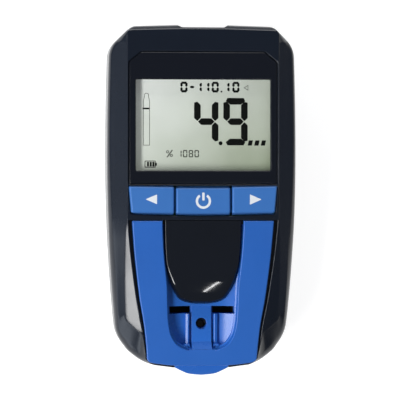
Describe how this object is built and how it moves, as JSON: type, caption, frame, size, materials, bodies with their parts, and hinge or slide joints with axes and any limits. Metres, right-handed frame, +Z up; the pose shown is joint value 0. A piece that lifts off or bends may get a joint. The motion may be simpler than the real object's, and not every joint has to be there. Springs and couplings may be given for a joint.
{
  "type": "glucose analyzer",
  "caption": "Handheld analyzer with a wide display, three keys in a row, a dished cartridge recess in a U-shaped frame and a rear battery door.",
  "frame": {"origin": "centre of the bounding box on the surface that the rubber feet stand on", "axes": "+Z up through the display with the device on its back, +Y towards the display end, +X to the right seen from the front"},
  "size_m": [0.078, 0.1436, 0.0334],
  "materials": {
    "case_dark": "satin dark navy",
    "rear_dark": "fine texture, near black",
    "bezel_gloss": "smooth dark panel",
    "window_clear": "clear",
    "display_pale": "reflective pale grey green with dark segments",
    "plastic_pale": "moulded",
    "elastomer_grey": "matt",
    "board_green": "solder mask",
    "chip_black": "moulded",
    "key_blue": "satin blue with white symbols",
    "frame_blue": "satin blue",
    "tray_blue": "smooth blue",
    "tongue_gloss": "high gloss",
    "contact_steel": "nickel plated",
    "screw_steel": "zinc plated",
    "sensor_brass": "plated",
    "cell_wrap": "printed sleeve, plain",
    "foot_rubber": "matt"
  },
  "bodies": {
    "case": {"front_housing": "case_dark", "rear_housing": "rear_dark", "display_bezel": "bezel_gloss", "display_window": "window_clear", "lcd_panel": "display_pale", "lcd_holder": "plastic_pale", "zebra_strip_upper": "elastomer_grey", "zebra_strip_lower": "elastomer_grey", "main_board": "board_green", "processor_chip": "chip_black", "memory_chip": "chip_black", "buzzer": "chip_black", "data_port": "contact_steel", "switch_left": "contact_steel", "switch_power": "contact_steel", "switch_right": "contact_steel", "front_frame": "frame_blue", "test_tray": "tray_blue", "optics_cover": "tongue_gloss", "optics_block": "chip_black", "led_left": "plastic_pale", "led_right": "plastic_pale", "detector_left": "chip_black", "detector_right": "chip_black", "sensor_board": "board_green", "cartridge_sensor": "sensor_brass", "battery_1": "cell_wrap", "battery_2": "cell_wrap", "battery_3": "cell_wrap", "battery_4": "cell_wrap", "contact_spring_1": "contact_steel", "contact_spring_2": "contact_steel", "contact_spring_3": "contact_steel", "contact_spring_4": "contact_steel", "contact_plate_low_left": "contact_steel", "contact_plate_low_right": "contact_steel", "contact_plate_plus": "contact_steel", "contact_plate_middle": "contact_steel", "contact_plate_minus": "contact_steel", "case_screw_1": "screw_steel", "case_screw_2": "screw_steel", "case_screw_3": "screw_steel", "case_screw_4": "screw_steel", "foot_1": "foot_rubber", "foot_2": "foot_rubber", "foot_3": "foot_rubber", "foot_4": "foot_rubber"},
    "key_left": {"button_left": "key_blue", "plunger_left": "chip_black"},
    "key_power": {"button_power": "key_blue", "plunger_power": "chip_black"},
    "key_right": {"button_right": "key_blue", "plunger_right": "chip_black"},
    "door": {"battery_door": "rear_dark"}
  },
  "joints": [
    {"name": "press_left", "type": "slide", "parent": "case", "child": "key_left", "axis": [0, 0, -1], "range_m": [0, 0.0009], "stiffness_N_per_m": 2200, "springref_m": -0.0002},
    {"name": "press_power", "type": "slide", "parent": "case", "child": "key_power", "axis": [0, 0, -1], "range_m": [0, 0.0009], "stiffness_N_per_m": 2200, "springref_m": -0.0002},
    {"name": "press_right", "type": "slide", "parent": "case", "child": "key_right", "axis": [0, 0, -1], "range_m": [0, 0.0009], "stiffness_N_per_m": 2200, "springref_m": -0.0002},
    {"name": "door_open", "type": "hinge", "parent": "case", "child": "door", "pos_m": [0, -0.0081, 0.0008], "axis": [-1, 0, 0], "range_deg": [0, 80]}
  ]
}
